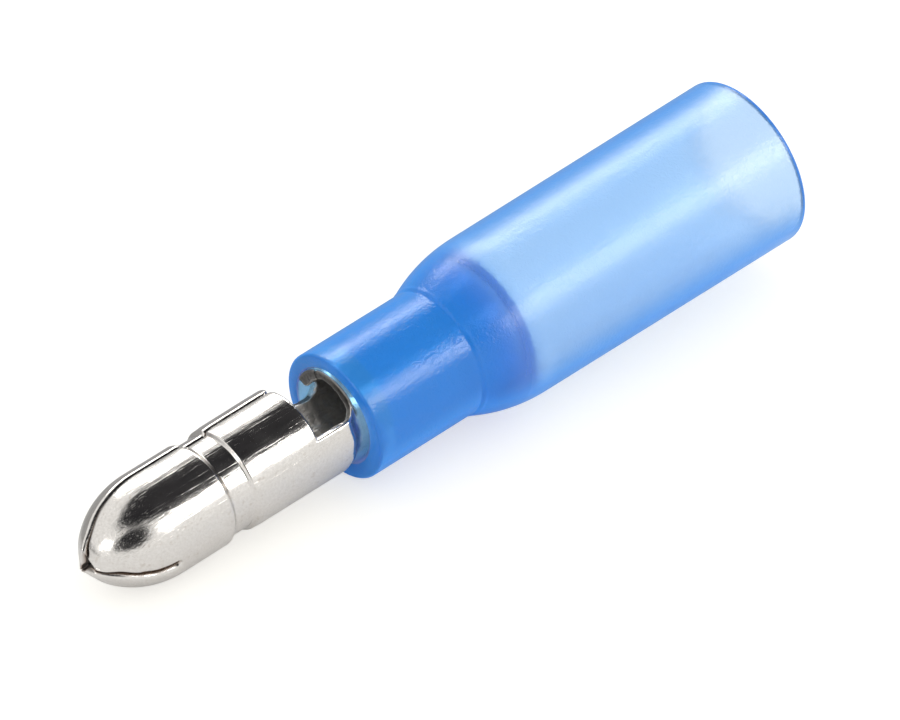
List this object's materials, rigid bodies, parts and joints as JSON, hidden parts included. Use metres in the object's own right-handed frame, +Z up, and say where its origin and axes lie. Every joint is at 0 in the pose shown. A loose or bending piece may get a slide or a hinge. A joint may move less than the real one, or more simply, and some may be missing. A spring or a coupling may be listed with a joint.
{
  "type": "insulated bullet connector",
  "caption": "Rolled sheet bullet plug with a snap groove and a wire barrel in a clear blue heat-shrink sleeve that opens to the rear for the wire.",
  "frame": {"origin": "on the bullet's axis, in the middle of the snap groove", "axes": "+X along the connector from the bullet to the wire entry, level; +Z up. The connector lies at rest on the start of its nose and on the shoulder of its sleeve, so its own axis rises 4.704 degrees towards the wire entry. The seam leans 22 degrees back from straight up, towards +Y."},
  "size_m": [0.0392, 0.0081, 0.0093],
  "materials": {
    "plated_brass": "bright plated sheet",
    "blue_sleeve": "clear tinted heat-shrink plastic, satin"
  },
  "bodies": {
    "root": {"terminal": "plated_brass", "sleeve": "blue_sleeve"}
  },
  "joints": []
}
